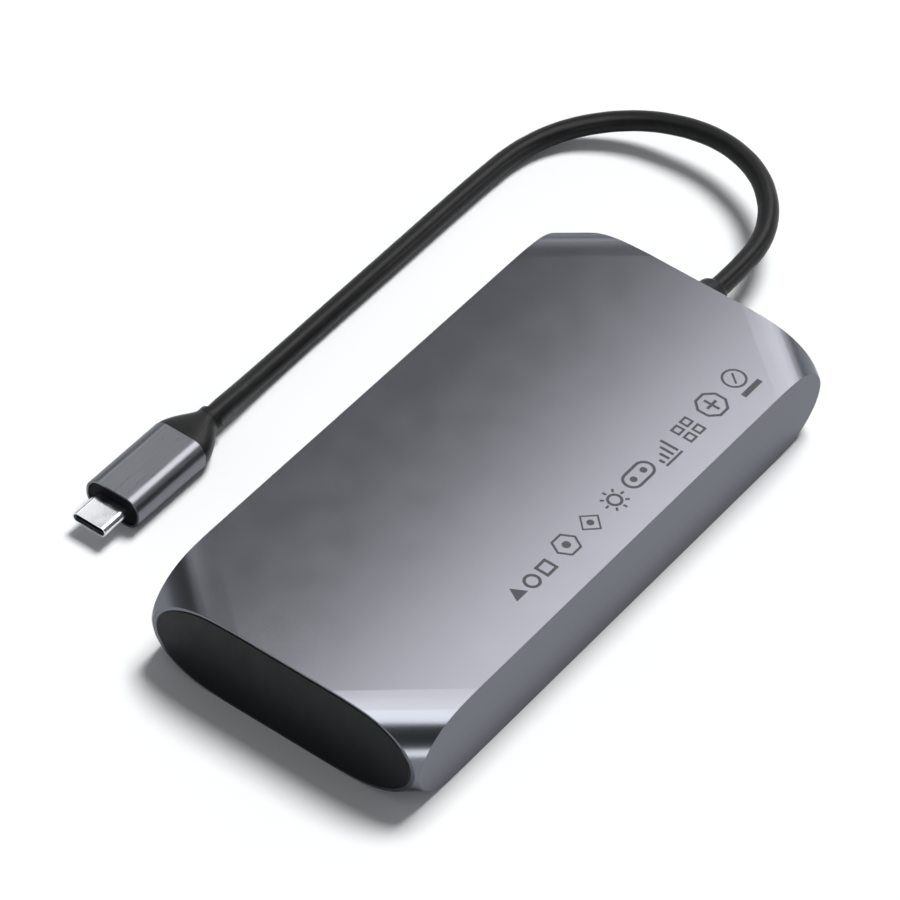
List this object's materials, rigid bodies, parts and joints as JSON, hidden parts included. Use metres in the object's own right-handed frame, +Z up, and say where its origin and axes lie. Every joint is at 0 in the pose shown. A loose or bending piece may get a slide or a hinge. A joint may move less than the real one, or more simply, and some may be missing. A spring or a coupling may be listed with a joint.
{
  "type": "usb hub",
  "caption": "Flat aluminium USB hub with rounded corners, black end caps, sockets along one side and a captive lead with a small plug.",
  "frame": {"origin": "middle of the face the hub rests on, in the shown pose with its marked base upward, measured without the lead", "axes": "+X along the body toward the end the lead leaves from, +Y toward the sockets, +Z up"},
  "size_m": [0.1873, 0.0979, 0.02],
  "materials": {
    "grey_aluminium": "satin, bead-blasted and anodised space grey",
    "cap_plastic": "fine matt black",
    "frame_plastic": "matt dark grey",
    "board": "green solder resist",
    "steel": "plain bright steel",
    "nickel": "nickel plated",
    "film": "amber film",
    "chip": "moulded black epoxy",
    "solderable": "bare metal can",
    "ferrite": "dull dark grey ferrite",
    "chip_parts": "tan ceramic chips",
    "spreader": "plain sheet aluminium",
    "pad": "soft blue-grey pad",
    "socket_plastic": "black insulator",
    "gold": "gold plated contacts",
    "lens": "clear diffusing plastic",
    "led": "milky package",
    "lead_rubber": "satin black jacket",
    "wire": "coloured insulation",
    "header": "natural nylon",
    "plug_plastic": "black"
  },
  "bodies": {
    "root": {"shell": "grey_aluminium", "end_cap": "cap_plastic", "cable_cap": "cap_plastic", "tray": "frame_plastic", "circuit_board": "board", "board_screws": "steel", "insulating_film": "film", "hub_chip": "chip", "video_chip": "chip", "power_chip": "chip", "network_chip": "chip", "small_chips": "chip", "crystals": "solderable", "inductors": "ferrite", "bulk_capacitors": "solderable", "passives": "chip_parts", "network_transformer": "chip", "heat_spreader": "spreader", "thermal_pads": "pad", "usb_a_shell_1": "nickel", "usb_a_core_1": "socket_plastic", "usb_a_contacts_1": "gold", "usb_a_shell_2": "nickel", "usb_a_core_2": "socket_plastic", "usb_a_contacts_2": "gold", "hdmi_shell": "nickel", "hdmi_core": "socket_plastic", "hdmi_contacts": "gold", "usb_c_shell_1": "nickel", "usb_c_core_1": "socket_plastic", "usb_c_shell_2": "nickel", "usb_c_core_2": "socket_plastic", "lan_housing": "socket_plastic", "lan_shield": "nickel", "lan_contacts": "gold", "status_led": "led", "light_pipe": "lens", "strain_relief": "lead_rubber", "cable_clamp": "steel", "lead_wires": "wire", "wire_header": "header", "cord": "lead_rubber", "plug_relief": "lead_rubber", "plug_sleeve": "grey_aluminium", "plug_front": "plug_plastic", "plug_shell": "nickel", "plug_insert": "socket_plastic", "plug_contacts": "gold", "plug_board": "board", "plug_filler": "frame_plastic"}
  },
  "joints": []
}
